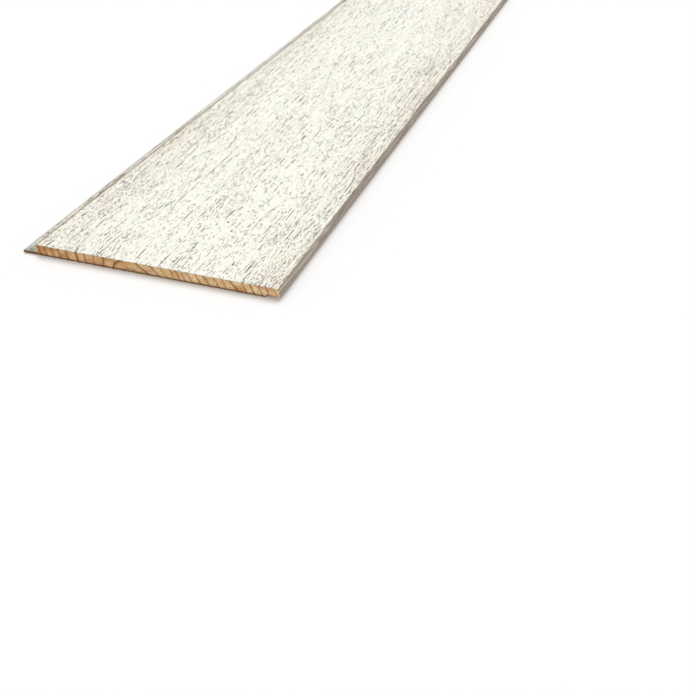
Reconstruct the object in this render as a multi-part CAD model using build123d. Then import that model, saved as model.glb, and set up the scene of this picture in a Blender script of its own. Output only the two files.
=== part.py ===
from build123d import *
import os
from math import radians, tan

# One length of shiplap wall board, machined from a single plank and lying face up.
# X runs across the board, Y along it, and Z up through its thickness.
# The origin is on the back face, under the middle of the board.

# Overall stock, in millimetres
LENGTH = 2438.4
WIDTH = 184.15
THICKNESS = 7.94

# Lower lip along the left edge, which the next board's upper lip covers
LIP_LENGTH = 10.5
LIP_THICKNESS = 2.2

# Fit of two lapped boards: the gap left between them at the foot of the joint,
# and the room above the lower lip inside the back rebate
REVEAL = 1.0
LAP_CLEARANCE = 0.5

# Lean of the two walls that make the open joint on the face, in degrees from upright
SHOULDER_BEVEL = 10.0
EDGE_BEVEL = 15.0

# Rounding of the section's outer corners, on the face and on the lips and back
FACE_EASE = 0.6
BACK_EASE = 0.35

# Places in the section that follow from those sizes
LEFT = -WIDTH / 2
RIGHT = WIDTH / 2
REBATE_HEIGHT = LIP_THICKNESS + LAP_CLEARANCE
REBATE_WALL = RIGHT - (LIP_LENGTH - REVEAL)
SHOULDER_FOOT = LEFT + LIP_LENGTH
FACE_LEFT = SHOULDER_FOOT + (THICKNESS - LIP_THICKNESS) * tan(radians(SHOULDER_BEVEL))
FACE_RIGHT = RIGHT - (THICKNESS - REBATE_HEIGHT) * tan(radians(EDGE_BEVEL))


def eased(outline, corners, radius):
    """The outline with the corners at these points rounded."""
    nearest = [outline.vertices().sort_by_distance(corner)[0] for corner in corners]
    return fillet(nearest, radius)


def make_section():
    """The section across the board, with a lower lip on the left and an upper lip on the right."""
    lip_foot = (LEFT, 0)
    lip_top = (LEFT, LIP_THICKNESS)
    shoulder_corner = (SHOULDER_FOOT, LIP_THICKNESS)
    face_left = (FACE_LEFT, THICKNESS)
    face_right = (FACE_RIGHT, THICKNESS)
    edge_foot = (RIGHT, REBATE_HEIGHT)
    rebate_corner = (REBATE_WALL, REBATE_HEIGHT)
    rebate_mouth = (REBATE_WALL, 0)

    edges = Polyline(
        lip_foot, lip_top, shoulder_corner, face_left,
        face_right, edge_foot, rebate_corner, rebate_mouth, close=True,
    )
    outline = make_face(edges)
    outline = eased(outline, [face_left, face_right], FACE_EASE)
    return eased(outline, [lip_foot, lip_top, rebate_mouth], BACK_EASE)


# The section run along the whole length, sawn square at both ends
board = extrude(Plane.XZ * make_section(), amount=LENGTH / 2, both=True)

os.makedirs("parts", exist_ok=True)
export_step(board, "parts/shiplap_board.step")
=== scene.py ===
from math import cos, pi, radians, sin, tan

import bpy
import numpy as np
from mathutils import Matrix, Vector
from mathutils.geometry import delaunay_2d_cdt


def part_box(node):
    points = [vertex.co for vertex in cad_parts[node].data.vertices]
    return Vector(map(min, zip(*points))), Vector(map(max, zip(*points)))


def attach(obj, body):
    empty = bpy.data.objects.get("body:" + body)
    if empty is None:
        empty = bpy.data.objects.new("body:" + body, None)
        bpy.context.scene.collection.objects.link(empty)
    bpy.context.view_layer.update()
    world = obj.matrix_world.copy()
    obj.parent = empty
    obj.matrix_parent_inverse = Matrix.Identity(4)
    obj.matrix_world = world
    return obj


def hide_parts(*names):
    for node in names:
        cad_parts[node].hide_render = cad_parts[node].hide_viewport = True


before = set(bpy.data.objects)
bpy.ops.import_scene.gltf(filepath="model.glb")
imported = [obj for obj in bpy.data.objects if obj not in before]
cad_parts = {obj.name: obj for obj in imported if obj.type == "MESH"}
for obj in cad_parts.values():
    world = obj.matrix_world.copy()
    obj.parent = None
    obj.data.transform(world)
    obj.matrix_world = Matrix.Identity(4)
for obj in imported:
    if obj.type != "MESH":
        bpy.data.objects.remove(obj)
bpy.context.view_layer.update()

NODE = "shiplap_board"
MM = 0.001

# The board's box, from the frame, in millimetres like every size below
low, high = (np.array(corner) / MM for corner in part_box(NODE))
LEFT, FRONT, BACK_FACE = low
RIGHT, REAR, FACE = high

# The section, at the sizes of the solid
LIP_LENGTH = 10.5
LIP_THICKNESS = 2.2
REBATE_LENGTH = 9.5
REBATE_HEIGHT = 2.7
SHOULDER_BEVEL = radians(10)
EDGE_BEVEL = radians(15)
FACE_EASE = 0.6
BACK_EASE = 0.35

# A trace of rounding on the corners that the solid leaves sharp
CRISP = 0.12

# Places in the section that follow from those sizes
SHOULDER_FOOT = LEFT + LIP_LENGTH
FACE_LEFT = SHOULDER_FOOT + (FACE - LIP_THICKNESS) * tan(SHOULDER_BEVEL)
FACE_RIGHT = RIGHT - (FACE - REBATE_HEIGHT) * tan(EDGE_BEVEL)
FACE_MIDDLE = (FACE_LEFT + FACE_RIGHT) / 2
REBATE_WALL = RIGHT - REBATE_LENGTH

# Small break that the saw leaves along the foot of each end
SAWN_ARRIS = 0.6

# Spacing of the mesh along the board and in its rounded corners
STATION_STEP = 8.0
CORNER_STEPS = 4

# Spacing of the points inside a sawn end, and how far they stay from its outline
END_STEP = 0.9
END_MARGIN = 0.45 * END_STEP

# Points closer than this are the same place, on the section and when an end is filled
SAME_PLACE = 0.001
SAME_POINT = 1e-6

# Growth rings: where the tree's centre line passes below the front end, as a share of the width
# and a depth, and how far it rises and drifts aside for each millimetre along the board
PITH_SHARE = 0.45
PITH_DEPTH = 9.0
PITH_RISE = -0.004
PITH_DRIFT = 0.004

# The rings' slant, the width of one, and the parts of it where its dark wood starts, is full and fades
PITH_SKEW = 0.5
RING_STEP = 6.2
LATE_START = 0.5
LATE_FULL = 0.92
LATE_FADE = 0.94

# The same for the narrower lines that the rings draw on the sawn ends
LINE_START = 0.55
LINE_FULL = 0.94
LINE_FADE = 0.96

# Waves that bend the rings: their lengths across and along the board and their reach,
# how many there are of each, the most that chance turns one, in radians, and a seed
RING_WAVES = [(70, 900, 4.0), (45, 420, 2.2), (26, 190, 1.0), (15, 90, 0.45)]
WAVES_EACH = 3
WAVE_TURN = 0.6
WAVE_SEED = 7

# How deep brushing has worn the soft part of each ring on the face
BRUSHED_DEPTH = 0.14

# How many times closer the grain's lines lie at the face's edges than in its middle,
# and how far out they go on closing up, in half widths of the face
EDGE_CROWDING = 1.8
CROWDING_REACH = 1.2

# Half of the step over which slopes are measured
SLOPE_STEP = 0.5

# The map for baked copies of the materials: the long sides lie in this many strips, the bare
# ones narrowed to this share, and each end in a band of its own
MAP_NAME = "OFBake"
MAP_STRIPS = 2
BARE_SHARE = 0.2
END_BAND = 0.02
MAP_GAP = 0.004


# Section and mesh

def rounded_corner(before, corner, after, radius):
    """Points round one corner of the section, from one straight side to the next."""
    back = (before - corner) / np.linalg.norm(before - corner)
    on = (after - corner) / np.linalg.norm(after - corner)
    half = np.arccos(back @ on) / 2
    centre = corner + (back + on) / np.linalg.norm(back + on) * radius / sin(half)
    start = corner + back * radius / tan(half) - centre
    end = corner + on * radius / tan(half) - centre
    points = []
    for share in np.linspace(0, 1, CORNER_STEPS + 1):
        spoke = start * (1 - share) + end * share
        points.append(centre + spoke / np.linalg.norm(spoke) * radius)
    return points


def section_points():
    """The closed section, clockwise from the lip's foot, and how much wash each point carries."""
    # Corner, rounding, then the spacing and the wash, from start to end, of the side that follows it
    corners = [
        ((LEFT, BACK_FACE), BACK_EASE, 0.7, 0.3, 0.3),
        ((LEFT, LIP_THICKNESS), BACK_EASE, 0.7, 0.95, 0.8),
        ((SHOULDER_FOOT, LIP_THICKNESS), CRISP, 0.7, 0.35, 0.6),
        ((FACE_LEFT, FACE), FACE_EASE, 1.0, 1.0, 1.0),
        ((FACE_RIGHT, FACE), FACE_EASE, 0.7, 0.35, 0.45),
        ((RIGHT, REBATE_HEIGHT), CRISP, 2.0, 0.0, 0.0),
        ((REBATE_WALL, REBATE_HEIGHT), CRISP, 0.7, 0.0, 0.0),
        ((REBATE_WALL, BACK_FACE), BACK_EASE, 6.0, 0.0, 0.0),
    ]
    places = [np.array(corner[0], float) for corner in corners]
    bends = []
    for i, place in enumerate(places):
        bends.append(rounded_corner(places[i - 1], place, places[(i + 1) % len(places)], corners[i][1]))
    points = []
    wash = []
    for i, (_, _, step, wash_start, wash_end) in enumerate(corners):
        last_wash = corners[i - 1][4]
        for j, point in enumerate(bends[i]):
            points.append(point)
            wash.append(last_wash + (wash_start - last_wash) * j / CORNER_STEPS)
        run_start = bends[i][-1]
        run_end = bends[(i + 1) % len(corners)][0]
        pieces = max(1, round(float(np.linalg.norm(run_end - run_start)) / step))
        for j in range(1, pieces):
            points.append(run_start + (run_end - run_start) * j / pieces)
            wash.append(wash_start + (wash_end - wash_start) * j / pieces)
    return np.array(points), np.array(wash)


def ring_wander(x, y):
    """How far, in millimetres, the growth rings wander from true circles at each point."""
    chance = np.random.default_rng(WAVE_SEED)
    shift = np.zeros_like(x)
    for across, along, reach in RING_WAVES:
        for _ in range(WAVES_EACH):
            turn = chance.uniform(-WAVE_TURN, WAVE_TURN)
            phase = chance.uniform(0, 2 * pi)
            wave = 2 * pi * (x * cos(turn) / across + y / along) + phase
            shift += reach * np.sin(wave) / WAVES_EACH
    return shift


def ring_radius(x, y, z):
    """Distance of each point from the tree's centre line, as its wandering rings measure it."""
    aside = x - LEFT - PITH_SHARE * (RIGHT - LEFT) - PITH_DRIFT * (y - FRONT)
    above = z + PITH_DEPTH - PITH_RISE * (y - FRONT) + PITH_SKEW * aside
    return np.hypot(aside, above) + ring_wander(x, y)


def grain_place(aside, x, y):
    """Each point's place across the grain, from its distance round the section to the face's middle."""
    half = (FACE_RIGHT - FACE_LEFT) / 2
    outward = np.clip(aside / half, -CROWDING_REACH, CROWDING_REACH)
    # The slope of this cubic curve is EDGE_CROWDING at the face's edges
    crowding = (EDGE_CROWDING - 1) / 3 * outward ** 2
    return aside * (1 + crowding) + ring_wander(x, y)


def late_wood(radius):
    """The dark, hard share of each ring, from 0 to 1, rising slowly and ending sharply."""
    part = radius / RING_STEP % 1
    rise = np.clip((part - LATE_START) / (LATE_FULL - LATE_START), 0, 1)
    fall = np.clip((1 - part) / (1 - LATE_FADE), 0, 1)
    return rise * rise * (3 - 2 * rise) * fall


def station_places():
    """Places along the board where the mesh repeats the section, even but for one near each end."""
    pieces = MAP_STRIPS * round((REAR - FRONT) / STATION_STEP / MAP_STRIPS)
    stations = np.linspace(FRONT, REAR, pieces + 1)
    return np.sort(np.append(stations, (FRONT + SAWN_ARRIS, REAR - SAWN_ARRIS)))


def long_sides(stations, lengths, wash):
    """Faces of the long sides, and the places of their corners on the map."""
    around = len(lengths)
    # A gap lies below and above each strip and each end's band
    gaps = MAP_STRIPS + 3
    band = (1 - 2 * END_BAND - gaps * MAP_GAP) / MAP_STRIPS
    shares = np.concatenate(([0], np.cumsum(lengths * np.where(wash > 0, 1, BARE_SHARE))))
    shares *= band / shares[-1]
    along = (stations - FRONT) / (REAR - FRONT) * MAP_STRIPS
    faces = []
    spots = []
    for s in range(len(stations) - 1):
        strip = int((along[s] + along[s + 1]) / 2)
        near, far = along[s] - strip, along[s + 1] - strip
        foot = MAP_GAP + strip * (band + MAP_GAP)
        for i in range(around):
            a = s * around + i
            b = s * around + (i + 1) % around
            faces.append((a, b, b + around, a + around))
            low_edge, high_edge = foot + shares[i], foot + shares[i + 1]
            spots += [(near, low_edge), (near, high_edge), (far, high_edge), (far, low_edge)]
    return faces, spots


def end_cap(outline):
    """The points of the section and of an even grid inside it, and the triangles that fill it."""
    xs = np.arange(LEFT + END_STEP, RIGHT, END_STEP)
    zs = np.linspace(BACK_FACE, FACE, round((FACE - BACK_FACE) / END_STEP) + 1)[1:-1]
    grid = np.array([(x, z) for x in xs for z in zs])
    nearest = np.linalg.norm(grid[:, None, :] - outline[None, :, :], axis=2).min(axis=1)
    plan = np.vstack((outline, grid[nearest > END_MARGIN]))
    flat = [Vector(point) for point in plan]
    border = list(range(len(outline)))
    # The 1 asks for the triangles inside the border alone
    _, _, faces, sources, _, _ = delaunay_2d_cdt(flat, [], [border], 1, SAME_POINT)
    triangles = [[sources[corner][0] for corner in face] for face in faces]
    used = sorted({corner for triangle in triangles for corner in triangle})
    place = {corner: k for k, corner in enumerate(used)}
    return plan[used], [[place[corner] for corner in triangle] for triangle in triangles]


def sawn_ends(plan, triangles, around, first_inner):
    """Faces of the front and rear ends, and the places of their corners on the map."""
    inner = len(plan) - around
    # Where each end's outline and its inner points start, and the way its triangles run
    ends = [(0, first_inner, 1), (first_inner - around, first_inner + inner, -1)]
    size = (RIGHT - LEFT, FACE - BACK_FACE)
    faces = []
    spots = []
    for i, (rim, middle, way) in enumerate(ends):
        foot = 1 - (END_BAND + MAP_GAP) * (i + 1)
        for triangle in triangles:
            turned = triangle[::way]
            faces.append([rim + k if k < around else middle + k - around for k in turned])
            for k in turned:
                across, up = (plan[k] - (LEFT, BACK_FACE)) / size
                spots.append((across, foot + up * END_BAND))
    return faces, spots


def make_board():
    """The board as one closed mesh: its long sides on stations, its sawn ends filled."""
    outline, wash = section_points()
    around = len(outline)
    lengths = np.linalg.norm(np.roll(outline, -1, axis=0) - outline, axis=1)
    walk = np.concatenate(([0], np.cumsum(lengths[:-1])))
    aside = walk - walk[outline[:, 1] > FACE - SAME_PLACE].mean()
    stations = station_places()
    plan, triangles = end_cap(outline)
    inner = plan[around:]

    def everywhere(on_outline, inside):
        """Values of the outline's points at every station, then of the points inside both ends."""
        return np.concatenate((np.tile(on_outline, len(stations)), inside, inside))

    x = everywhere(outline[:, 0], inner[:, 0])
    y = np.concatenate((np.repeat(stations, around), np.repeat((FRONT, REAR), len(inner))))
    z = everywhere(outline[:, 1], inner[:, 1])
    aside = everywhere(aside, inner[:, 0])
    after = grain_place(aside + SLOPE_STEP, x + SLOPE_STEP, y)
    before = grain_place(aside - SLOPE_STEP, x - SLOPE_STEP, y)
    outer = ring_radius(x + SLOPE_STEP, y, z)
    nearer = ring_radius(x - SLOPE_STEP, y, z)
    layers = {
        "ring_radius": ring_radius(x, y, z),
        "ring_slope": np.abs(outer - nearer) / (2 * SLOPE_STEP),
        "grain_place": grain_place(aside, x, y),
        "grain_slope": np.abs(after - before) / (2 * SLOPE_STEP),
        "wash": everywhere(wash, np.zeros(len(inner))),
    }

    # Brushing sinks the face between the hard rings, and the saw breaks the foot of each end
    on_face = np.clip((z - FACE + FACE_EASE) / FACE_EASE, 0, 1)
    z = z - BRUSHED_DEPTH * (1 - late_wood(layers["ring_radius"])) * on_face
    at_end = (y == FRONT) | (y == REAR)
    z[at_end] = np.maximum(z[at_end], SAWN_ARRIS)

    side_faces, side_spots = long_sides(stations, lengths, wash)
    end_faces, end_spots = sawn_ends(plan, triangles, around, around * len(stations))
    faces = side_faces + end_faces
    on_end = np.arange(len(faces)) >= len(side_faces)
    mesh = bpy.data.meshes.new(NODE)
    mesh.from_pydata(np.column_stack((x, y, z)) * MM, [], faces)
    for name, values in layers.items():
        layer = mesh.attributes.new(name, "FLOAT", "POINT")
        layer.data.foreach_set("value", values.astype(np.float32))
    spots = np.array(side_spots + end_spots, np.float32)
    mesh.uv_layers.new(name=MAP_NAME).uv.foreach_set("vector", spots.ravel())
    mesh.polygons.foreach_set("material_index", on_end.astype(np.int32))
    mesh.polygons.foreach_set("use_smooth", ~on_end)
    mesh.update()
    board = bpy.data.objects.new("board", mesh)
    bpy.context.scene.collection.objects.link(board)
    return board


# Materials

class Tree:
    """Adds shader nodes to a material or a world, each linked or set as it is made."""

    def __init__(self, owner, shader="Principled BSDF"):
        owner.use_nodes = True
        self.owner = owner
        self.nodes = owner.node_tree.nodes
        self.links = owner.node_tree.links
        self.shader = self.nodes[shader]

    def feed(self, socket, value):
        """Links another node's socket to this one, or sets it to a constant."""
        if isinstance(value, bpy.types.NodeSocket):
            self.links.new(value, socket)
        else:
            socket.default_value = value

    def add(self, kind, inputs, **settings):
        """A new node with these inputs and settings."""
        node = self.nodes.new(kind)
        for key, value in settings.items():
            setattr(node, key, value)
        for key, value in inputs.items():
            self.feed(node.inputs[key], value)
        return node

    def math(self, operation, *values, clamp=False):
        inputs = dict(enumerate(values))
        return self.add("ShaderNodeMath", inputs, operation=operation, use_clamp=clamp).outputs[0]

    def vector(self, operation, *values):
        return self.add("ShaderNodeVectorMath", dict(enumerate(values)), operation=operation).outputs[0]

    def span(self, value, start, end, low=0.0, high=1.0):
        """A smooth step of the value from one level to another."""
        inputs = {"Value": value, "From Min": start, "From Max": end, "To Min": low, "To Max": high}
        return self.add("ShaderNodeMapRange", inputs, interpolation_type="SMOOTHSTEP").outputs[0]

    def between(self, share, low, high):
        """The level that lies this share of the way from one level to another."""
        return self.math("MULTIPLY_ADD", share, high - low, low)

    def noise(self, place, size, detail, rough, seed):
        """Noise whose blots have this size in millimetres across, along and through the board."""
        spot = self.vector("ADD", self.vector("DIVIDE", place, size), (seed, seed, seed))
        inputs = {"Vector": spot, "Scale": 1.0, "Detail": detail, "Roughness": rough}
        return self.add("ShaderNodeTexNoise", inputs).outputs["Fac"]

    def blots(self, place, size, detail, rough, seed, *levels):
        """The same noise, stepped smoothly from one level to another."""
        return self.span(self.noise(place, size, detail, rough, seed), *levels)

    def mix(self, share, first, second):
        # The colour sockets of this node come after those for numbers and vectors
        inputs = {"Factor": share, 6: first, 7: second}
        return self.add("ShaderNodeMix", inputs, data_type="RGBA").outputs[2]

    def chances(self, *values):
        """Three chance numbers from 0 to 1 for each set of whole values."""
        spot = self.add("ShaderNodeCombineXYZ", dict(enumerate(values))).outputs[0]
        noise = self.add("ShaderNodeTexWhiteNoise", {"Vector": spot}, noise_dimensions="3D")
        return self.add("ShaderNodeSeparateXYZ", {"Vector": noise.outputs["Color"]}).outputs

    def seen(self):
        """1 for rays that show a thing to the camera, straight on, mirrored or through glass, else 0."""
        rays = self.add("ShaderNodeLightPath", {}).outputs
        straight = self.math("MAXIMUM", rays["Is Camera Ray"], rays["Is Glossy Ray"])
        return self.math("MAXIMUM", straight, rays["Is Transmission Ray"])

    def attribute(self, name):
        return self.add("ShaderNodeAttribute", {}, attribute_name=name).outputs["Fac"]


# Bare pine: the soft and the hard part of a ring, and a slow change of tone
EARLY_PINE = (0.78, 0.50, 0.27, 1)
LATE_PINE = (0.36, 0.17, 0.06, 1)
TONED_PINE = (0.6, 0.31, 0.13, 1)

# Whitewash: full, warmed by the wood, grey, darker for mottling and for painted shade in the joint, and
# thinned to light and dark streaks, the dark one also painted shade on the lip
WASH_WHITE = (0.94, 0.935, 0.84, 1)
WASH_WARM = (0.87, 0.78, 0.65, 1)
WASH_GREY = (0.84, 0.85, 0.79, 1)
WASH_MOTTLE_AND_SHADE = (0.60, 0.585, 0.51, 1)
THIN_LIGHT = (0.62, 0.53, 0.42, 1)
THIN_DARK_AND_SHADE = (0.25, 0.20, 0.145, 1)

# Open pores, in the middle of the face and at its edges: near black, partly the dark of the opened wood and
# partly painted shade inside them
CREVICE_DARK_AND_SHADE = (0.032, 0.027, 0.014, 1)
CREVICE_DARK_AND_SHADE_WARM = (0.075, 0.042, 0.018, 1)

# Sawn ends: their wood on the left and the right, its red and pale specks, ring lines, and painted shadow on
# the foot
END_DARK = (0.43, 0.18, 0.035, 1)
END_LIGHT = (1.0, 0.76, 0.45, 1)
END_RED = (0.52, 0.22, 0.075, 1)
END_PALE = (0.98, 0.66, 0.38, 1)
END_LINE = (0.18, 0.065, 0.02, 1)
END_FOOT_SHADOW = (0.06, 0.028, 0.012, 1)

# Stains of the sawn ends: size, seed, colour and the most that each one covers
END_STAINS = [
    (11.0, 2.6, (0.58, 0.20, 0.075, 1), 0.65),
    (8.0, 14.2, (0.58, 0.36, 0.07, 1), 0.6),
    (14.0, 23.9, (1.0, 0.70, 0.36, 1), 0.5),
]

# Layers of open pores, one pore to a cell: the cell's width and length, the pore's greatest half
# width and half length, the share of cells that hold one, its depth from 0 to 1, and a seed
PORES = [
    (4.0, 24.0, 0.44, 10.5, 0.32, 1.0, 3.1),
    (2.3, 11.0, 0.40, 4.6, 0.34, 1.0, 21.7),
    (1.2, 5.5, 0.31, 2.2, 0.46, 1.0, 34.9),
    (1.8, 40.0, 0.12, 18.0, 0.40, 0.45, 47.3),
]

# How softly a pore's edge fades, how bluntly it tapers, the share of a cell's width that it keeps
# clear on each side, and the least shares of its greatest length, width and depth
PORE_SOFTNESS = 0.06
PORE_TAPER = 3.0
PORE_MARGIN = 0.2
LEAST_LENGTH = 0.3
LEAST_WIDTH = 0.35
LEAST_DEPTH = 0.75

# How much thicker the pores crowd at the face's edges
EDGE_PORES = 0.35

# Least slope of the grain that counts, so that no pore spreads too far
LEAST_SLOPE = 0.3

# Plain noise: its size across, along and through the board, its detail, roughness and seed
GRAIN_WIGGLE = ((7.0, 16.0, 7.0), 4.0, 0.6, 0.0)
GRAIN_SWAY = ((60.0, 170.0, 60.0), 1.0, 0.5, 0.0)
CRACKS = ((4.0, 12.0, 5.0), 2.0, 0.5, 17.9)
BRUSH_MARKS = ((0.5, 30.0, 2.0), 2.0, 0.5, 0.0)
END_WIGGLE = ((3.0, 20.0, 3.0), 2.0, 0.5, 0.0)
END_PORES = ((0.9, 4.0, 0.9), 2.0, 0.7, 0.0)
SAW_MARKS = ((0.8, 10.0, 6.0), 2.0, 0.5, 0.0)

# Blots of noise: the same, then the noise at which a blot starts and is full, and the levels there
FIBRES = ((0.35, 22.0, 0.35), 2.0, 0.5, 0.0, 0.35, 0.75, -0.12, 0.2)
TONES = ((30.0, 160.0, 30.0), 1.0, 0.5, 0.0, 0.3, 0.7, 0.0, 0.35)
PORE_CROWDS = ((22.0, 60.0, 22.0), 2.0, 0.5, 0.0, 0.35, 0.65, 0.62, 1.02)
PORE_LANES = ((1.9, 60.0, 1.0), 2.0, 0.6, 0.0, 0.38, 0.64, 0.3, 1.8)
PINHOLES = ((0.7, 2.0, 0.7), 1.0, 0.5, 12.3, 0.66, 0.76, 0.0, 0.6)
CRACK_BREAKS = ((2.5, 5.0, 4.0), 1.0, 0.5, 29.1, 0.56, 0.64, 0.0, 0.6)
WEAR = ((0.35, 1.6, 0.35), 2.0, 0.5, 0.0, 0.3, 0.6, 0.8, 1.0)
WARM_STREAKS = ((1.3, 90.0, 6.0), 2.0, 0.5, 0.0, 0.42, 0.62, 0.0, 1.0)
GREY_PATCHES = ((12.0, 30.0, 12.0), 2.0, 0.5, 0.0, 0.45, 0.75, 0.0, 0.2)
MOTTLING = ((0.9, 2.4, 1.5), 2.0, 0.7, 9.4, 0.52, 0.8, 0.0, 0.4)
THIN_STREAKS = ((1.4, 60.0, 1.1), 2.0, 0.5, 0.0, 0.41, 0.59, 0.0, 1.0)

# Cracks lie where their noise is this close to its middle, from none of one to all of it
CRACK_EDGE = (0.03, 0.008)

# How far the wiggle and the sway move the grain, and how high brush marks stand beside a pore's depth
WIGGLE_REACH = 2.0
SWAY_REACH = 16.0
BRUSH_HEIGHT = 0.35

# Where the wash changes, from the start of a change to its end, with the levels there if they aren't
# 0 and 1: distances from the face's middle, heights above the back, and distances from the left edge
EDGE_ZONE = (45.0, 85.0)
CRACKED_ZONE = (75.0, 35.0)
# Painted shade: low in the joint, beside the shoulder where the face's edge shadows the lip, and as a dark
# line along the lip's outer arris
JOINT_ZONE = (4.0, 2.6)
SHOULDER_SHADOW_ZONE = (2.8, 4.0, 0.0, 0.7)
LIP_ARRIS_SHADE_ZONE = (1.2, 0.4, 0.0, 0.8)

# The same for amounts of wash: where it covers the wood, where it is no longer thin, where pores show
COVERED = (0.0, 0.25)
THICK = (0.3, 1.0)
PORED = (0.3, 0.6)

# The same for slopes of the rings, from flat and faint to steep and full
STEEP_RINGS = (0.0, 0.6, 0.3, 1.0)

# How strongly the dark wood of a ring shows in bare pine, and how much it warms the wash
LATE_STRENGTH = 0.8
LATE_WARMTH = 0.1

# How much warm streaks show in the middle of the face and at its edges
STREAK_WARMTH = (0.1, 0.95)

# The same on the sawn ends: distances from the left edge over which the ring lines sharpen, the wood
# lightens and the lip ends, where its end takes painted shadow, heights of the painted shadow on the foot,
# and depths of the torn edge below the face
SHARPER_ZONE = (0.0, 70.0, 1.0, 2.2)
LIGHTER_ZONE = (-20.0, RIGHT - LEFT - 20.0)
LIP_END_SHADOW_ZONE = (LIP_LENGTH + 1.0, LIP_LENGTH - 1.0)
FOOT_SHADOW_ZONE = (2.3, 1.2)
TORN_ZONE = (0.9, 0.2)

# Least strength of a ring line there
FAINTEST_LINE = 0.5

# Stains there: their length into the wood, their height as a share of their size, detail and roughness
STAIN_LENGTH = 40.0
STAIN_HEIGHT = 0.6
STAIN_NOISE = (2.0, 0.5)

# Noise there, as for the wash: the edges of stains, red and pale specks, the torn edge, and saw marks
STAIN_EDGE = (0.45, 0.65)
RED_SPECKS = (0.32, 0.52, 0.8, 0.0)
PALE_SPECKS = (0.54, 0.68, 0.0, 0.75)
TORN_SPECKS = (0.4, 0.6, 0.1, 0.75)
SAW_SPECKS = (0.45, 0.75, 0.0, 0.3)

# Strength of the painted shade in the joint and of the painted shadow on an end's foot
PAINTED_JOINT_SHADE = 0.45
PAINTED_FOOT_SHADOW = 0.8

# Roughness of closed and open wash, and of soft and hard end grain
WASH_ROUGHNESS = (0.62, 0.85)
END_ROUGHNESS = (0.85, 0.68)

# Strength and depth of the small relief of the wash and of the ends, and how high ring lines stand
WASH_RELIEF = (0.6, 0.15)
END_RELIEF = (0.5, 0.1)
LINE_HEIGHT = 0.5


def millimetres(tree):
    """Places on the board, in millimetres."""
    place = tree.add("ShaderNodeTexCoord", {}).outputs["Object"]
    return tree.vector("MULTIPLY", place, (1 / MM, 1 / MM, 1 / MM))


def late_share(tree):
    """The rise and fall of dark wood over each ring, as in the mesh's relief, fainter where it lies flat."""
    part = tree.math("FRACT", tree.math("DIVIDE", tree.attribute("ring_radius"), RING_STEP))
    rise = tree.span(part, LATE_START, LATE_FULL)
    fall = tree.span(part, 1.0, LATE_FADE)
    steep = tree.span(tree.attribute("ring_slope"), *STEEP_RINGS)
    return tree.math("MULTIPLY", tree.math("MULTIPLY", rise, fall), steep)


def add_relief(tree, height, strength, depth):
    """Small relief on the material's surface, this deep in millimetres for each unit of height."""
    bump = tree.add("ShaderNodeBump", {"Height": height, "Strength": strength, "Distance": depth * MM})
    tree.feed(tree.shader.inputs["Normal"], bump.outputs[0])


def open_pores(tree, grain, along, slope, crowd, layer):
    """Open pores, each one tapered and lying along the grain in a cell of its own."""
    width, length, half_width, half_length, share, depth, seed = layer
    rows = tree.math("DIVIDE", grain, width)
    row = tree.math("FLOOR", rows)
    shift, _, _ = tree.chances(row, seed, 0.0)
    cells = tree.math("ADD", tree.math("DIVIDE", along, length), shift)
    cell = tree.math("FLOOR", cells)
    sideways, lengthwise, size = tree.chances(row, cell, seed)
    held, strength, girth = tree.chances(cell, row, seed + 0.5)

    # How far this point lies from the pore's middle, across and along the grain
    middle = tree.between(sideways, PORE_MARGIN, 1 - PORE_MARGIN)
    aside = tree.math("ABSOLUTE", tree.math("SUBTRACT", tree.math("FRACT", rows), middle))
    aside = tree.math("DIVIDE", tree.math("MULTIPLY", aside, width), slope)
    centre = tree.between(lengthwise, half_length / length, 1 - half_length / length)
    onward = tree.math("MULTIPLY", tree.math("SUBTRACT", tree.math("FRACT", cells), centre), length)

    reach = tree.between(size, half_length * LEAST_LENGTH, half_length)
    onward = tree.math("ABSOLUTE", tree.math("DIVIDE", onward, reach))
    taper = tree.math("SUBTRACT", 1.0, tree.math("POWER", onward, PORE_TAPER))
    breadth = tree.between(girth, half_width * LEAST_WIDTH, half_width)
    pore = tree.math("SUBTRACT", tree.math("MULTIPLY", taper, breadth), aside)
    pore = tree.span(pore, -PORE_SOFTNESS, PORE_SOFTNESS)
    pore = tree.math("MULTIPLY", pore, tree.math("LESS_THAN", held, tree.math("MULTIPLY", crowd, share)))
    return tree.math("MULTIPLY", pore, tree.between(strength, depth * LEAST_DEPTH, depth))


def bare_pine(tree, place, late):
    """Colour of the uncoated wood: rings, fibres and slow changes of tone."""
    fibre = tree.blots(place, *FIBRES)
    share = tree.math("ADD", tree.math("MULTIPLY", late, LATE_STRENGTH), fibre, clamp=True)
    colour = tree.mix(share, EARLY_PINE, LATE_PINE)
    return tree.mix(tree.blots(place, *TONES), colour, TONED_PINE)


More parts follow.
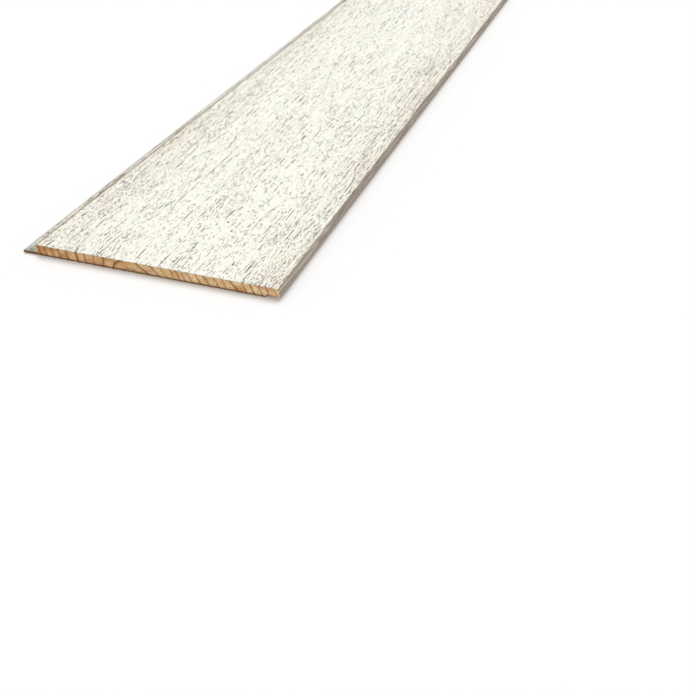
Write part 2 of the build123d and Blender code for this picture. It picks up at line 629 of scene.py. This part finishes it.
def open_wash(tree, place, along, from_middle, edge):
    """Where the wash is open, from 0 to 1: pinholes, pores and cracks, all a little worn."""
    # Pores, closer together towards the edges and in lanes along the grain
    wiggle = tree.math("MULTIPLY", tree.noise(place, *GRAIN_WIGGLE), WIGGLE_REACH)
    grain = tree.math("ADD", tree.attribute("grain_place"), wiggle)
    slope = tree.math("MAXIMUM", tree.attribute("grain_slope"), LEAST_SLOPE)
    lanes = tree.add("ShaderNodeCombineXYZ", {"X": grain, "Y": along}).outputs[0]
    crowd = tree.math("MULTIPLY_ADD", edge, EDGE_PORES, tree.blots(place, *PORE_CROWDS))
    crowd = tree.math("MULTIPLY", crowd, tree.blots(lanes, *PORE_LANES))
    opened = tree.blots(place, *PINHOLES)
    for layer in PORES:
        opened = tree.math("MAXIMUM", opened, open_pores(tree, grain, along, slope, crowd, layer))

    # Short crooked cracks, where the grain lies flat in the middle of the face
    bend = tree.math("SUBTRACT", tree.noise(place, *CRACKS), 0.5)
    crack = tree.span(tree.math("ABSOLUTE", bend), *CRACK_EDGE)
    crack = tree.math("MULTIPLY", crack, tree.blots(place, *CRACK_BREAKS))
    crack = tree.math("MULTIPLY", crack, tree.span(from_middle, *CRACKED_ZONE))
    opened = tree.math("MAXIMUM", opened, crack)
    return tree.math("MULTIPLY", opened, tree.blots(place, *WEAR))


def wash_colour(tree, place, along_grain, late, edge, wash):
    """Colour of the wash: white, grey or warm on the face, thin on the edges, with painted shade on parts of
    the lip.
    """
    x, _, z = tree.add("ShaderNodeSeparateXYZ", {"Vector": place}).outputs
    streaks = tree.blots(along_grain, *WARM_STREAKS)
    warm = tree.math("MULTIPLY", streaks, tree.between(edge, *STREAK_WARMTH))
    warm = tree.math("ADD", warm, tree.math("MULTIPLY", late, LATE_WARMTH), clamp=True)
    coat = tree.mix(warm, WASH_WHITE, WASH_WARM)
    coat = tree.mix(tree.blots(place, *GREY_PATCHES), coat, WASH_GREY)
    coat = tree.mix(tree.blots(along_grain, *MOTTLING), coat, WASH_MOTTLE_AND_SHADE)
    thin = tree.mix(tree.blots(along_grain, *THIN_STREAKS), THIN_DARK_AND_SHADE, THIN_LIGHT)
    coat = tree.mix(tree.span(wash, *THICK), thin, coat)

    # The lip and the joint: painted shade low down where the boards join, painted shadow of the shoulder on
    # the lip's inner part, and a painted shadow line along the lip's outer arris
    from_left = tree.math("SUBTRACT", x, LEFT)
    in_joint = tree.span(z, *JOINT_ZONE)
    coat = tree.mix(tree.math("MULTIPLY", in_joint, PAINTED_JOINT_SHADE), coat, WASH_MOTTLE_AND_SHADE)
    shoulder_shadow = tree.math("MULTIPLY", tree.span(from_left, *SHOULDER_SHADOW_ZONE), in_joint)
    dark = tree.math("MAXIMUM", shoulder_shadow, tree.span(from_left, *LIP_ARRIS_SHADE_ZONE))
    return tree.mix(dark, coat, THIN_DARK_AND_SHADE)


def whitewash_material():
    """Thin white wash over brushed pine, open along the grain."""
    tree = Tree(bpy.data.materials.new("whitewashed_pine"))
    place = millimetres(tree)
    x, y, _ = tree.add("ShaderNodeSeparateXYZ", {"Vector": place}).outputs
    from_middle = tree.math("ABSOLUTE", tree.math("SUBTRACT", x, FACE_MIDDLE))
    edge = tree.span(from_middle, *EDGE_ZONE)
    wash = tree.attribute("wash")
    late = late_share(tree)
    sway = tree.math("MULTIPLY", tree.noise(place, *GRAIN_SWAY), SWAY_REACH)
    along_grain = tree.vector("ADD", place, tree.add("ShaderNodeCombineXYZ", {"X": sway}).outputs[0])

    opened = open_wash(tree, place, y, from_middle, edge)
    coat = wash_colour(tree, place, along_grain, late, edge, wash)
    surface = tree.mix(tree.span(wash, *COVERED), bare_pine(tree, place, late), coat)
    # Open pores and cracks take a near-black colour, partly painted shade inside them
    shadow = tree.mix(edge, CREVICE_DARK_AND_SHADE, CREVICE_DARK_AND_SHADE_WARM)
    colour = tree.mix(tree.math("MULTIPLY", opened, tree.span(wash, *PORED)), surface, shadow)
    tree.feed(tree.shader.inputs["Base Color"], colour)
    tree.feed(tree.shader.inputs["Roughness"], tree.span(opened, 0.0, 1.0, *WASH_ROUGHNESS))

    # Pores sink below the wash, and brush marks run along the grain
    brush = tree.math("MULTIPLY", tree.noise(along_grain, *BRUSH_MARKS), BRUSH_HEIGHT)
    add_relief(tree, tree.math("SUBTRACT", brush, opened), *WASH_RELIEF)
    return tree.owner


def sawn_end_material():
    """Bare end grain, with growth rings, pores, stains and faint saw marks."""
    tree = Tree(bpy.data.materials.new("sawn_pine"))
    place = millimetres(tree)
    x, _, z = tree.add("ShaderNodeSeparateXYZ", {"Vector": place}).outputs
    from_left = tree.math("SUBTRACT", x, LEFT)

    # Ring lines, each of its own strength
    wiggle = tree.noise(place, *END_WIGGLE)
    rings = tree.math("DIVIDE", tree.math("ADD", tree.attribute("ring_radius"), wiggle), RING_STEP)
    part = tree.math("FRACT", rings)
    ring = {"W": tree.math("FLOOR", rings)}
    chance = tree.add("ShaderNodeTexWhiteNoise", ring, noise_dimensions="1D").outputs[0]
    late = tree.math("MULTIPLY", tree.span(part, LINE_START, LINE_FULL), tree.span(part, 1.0, LINE_FADE))
    late = tree.math("POWER", late, tree.span(from_left, *SHARPER_ZONE))
    late = tree.math("MULTIPLY", late, tree.between(chance, FAINTEST_LINE, 1.0))

    # The wood between them, lighter to the right, with stains and specks
    early = tree.mix(tree.span(from_left, *LIGHTER_ZONE), END_DARK, END_LIGHT)
    for size, seed, stain, most in END_STAINS:
        blot = tree.noise(place, (size, STAIN_LENGTH, size * STAIN_HEIGHT), *STAIN_NOISE, seed)
        early = tree.mix(tree.span(blot, *STAIN_EDGE, 0.0, most), early, stain)
    pores = tree.noise(place, *END_PORES)
    early = tree.mix(tree.span(pores, *RED_SPECKS), early, END_RED)
    early = tree.mix(tree.span(pores, *PALE_SPECKS), early, END_PALE)

    # Saw marks, the torn upper edge, and painted shadow on the foot and on the lip's end
    saw = tree.noise(place, *SAW_MARKS)
    below_face = tree.math("SUBTRACT", FACE, z)
    torn = tree.math("MULTIPLY", tree.span(below_face, *TORN_ZONE), tree.span(saw, *TORN_SPECKS))
    share = tree.math("ADD", late, tree.span(saw, *SAW_SPECKS))
    colour = tree.mix(tree.math("MAXIMUM", share, torn, clamp=True), early, END_LINE)
    foot = tree.math("MAXIMUM", tree.span(z, *FOOT_SHADOW_ZONE), tree.span(from_left, *LIP_END_SHADOW_ZONE))
    colour = tree.mix(tree.math("MULTIPLY", foot, PAINTED_FOOT_SHADOW), colour, END_FOOT_SHADOW)
    tree.feed(tree.shader.inputs["Base Color"], colour)
    tree.feed(tree.shader.inputs["Roughness"], tree.span(late, 0.0, 1.0, *END_ROUGHNESS))

    lines = tree.math("MULTIPLY", late, LINE_HEIGHT)
    add_relief(tree, tree.math("ADD", lines, tree.math("ADD", pores, saw)), *END_RELIEF)
    return tree.owner


board = make_board()
board.data.materials.append(whitewash_material())
board.data.materials.append(sawn_end_material())
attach(board, "root")
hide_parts(NODE)


# Floor, light and camera

# Half the side of the floor, in metres, its colour and roughness, how much it is lifted towards
# white, and the strength of the room's own light
FLOOR_HALF = 12.0
FLOOR_COLOUR = (0.92, 0.92, 0.92, 1)
FLOOR_ROUGHNESS = 0.9
FLOOR_LIFT = 0.06
SKY_STRENGTH = 0.5

# Two wide lamps: where each one comes from, its strength and how soft its shadows are
KEY_LAMP = ((-0.2, 0.42, 0.87), 1.65, radians(45))
FILL_LAMP = ((-0.3, -0.8, 0.5), 0.4, radians(60))

# The camera stands this far from the face's front left corner, in millimetres, and looks down and
# to the left by these angles
CAMERA_OFFSET = (374.6, -457.3, 304.7)
CAMERA_DOWN = radians(34.95)
CAMERA_LEFTWARD = radians(19.04)
LENS = 49.43
SENSOR = 36.0


def make_floor():
    """A pale floor that keeps shadows and is lifted to white where the camera sees it."""
    corners = [(-1, -1), (1, -1), (1, 1), (-1, 1)]
    mesh = bpy.data.meshes.new("floor")
    mesh.from_pydata([(a * FLOOR_HALF, b * FLOOR_HALF, 0) for a, b in corners], [], [(0, 1, 2, 3)])
    floor = bpy.data.objects.new("floor", mesh)
    bpy.context.scene.collection.objects.link(floor)
    tree = Tree(bpy.data.materials.new("pale_floor"))
    tree.shader.inputs["Base Color"].default_value = FLOOR_COLOUR
    tree.shader.inputs["Roughness"].default_value = FLOOR_ROUGHNESS
    tree.shader.inputs["Specular IOR Level"].default_value = 0.0
    tree.shader.inputs["Emission Color"].default_value = (1, 1, 1, 1)
    tree.feed(tree.shader.inputs["Emission Strength"], tree.math("MULTIPLY", tree.seen(), FLOOR_LIFT))
    mesh.materials.append(tree.owner)


def make_light():
    """Wide soft lamps from above, behind and in front, in an even pale room."""
    for name, (source, strength, softness) in (("key", KEY_LAMP), ("fill", FILL_LAMP)):
        lamp = bpy.data.lights.new(name, "SUN")
        lamp.energy = strength
        lamp.angle = softness
        holder = bpy.data.objects.new(name, lamp)
        holder.rotation_euler = Vector(source).to_track_quat("Z", "Y").to_euler()
        bpy.context.scene.collection.objects.link(holder)

    room = Tree(bpy.data.worlds.new("room"), "Background")
    room.shader.inputs["Color"].default_value = (1, 1, 1, 1)
    room.feed(room.shader.inputs["Strength"], room.span(room.seen(), 0.0, 1.0, SKY_STRENGTH, 1.0))
    bpy.context.scene.world = room.owner


def make_camera():
    """The camera at the photograph's viewing angle."""
    data = bpy.data.cameras.new("camera")
    data.lens = LENS
    data.sensor_width = SENSOR
    camera = bpy.data.objects.new("camera", data)
    corner = Vector((FACE_LEFT, FRONT, FACE))
    camera.location = (corner + Vector(CAMERA_OFFSET)) * MM
    camera.rotation_euler = (pi / 2 - CAMERA_DOWN, 0, CAMERA_LEFTWARD)
    bpy.context.scene.collection.objects.link(camera)
    bpy.context.scene.camera = camera


make_floor()
make_light()
make_camera()
bpy.context.scene.view_settings.view_transform = "Standard"
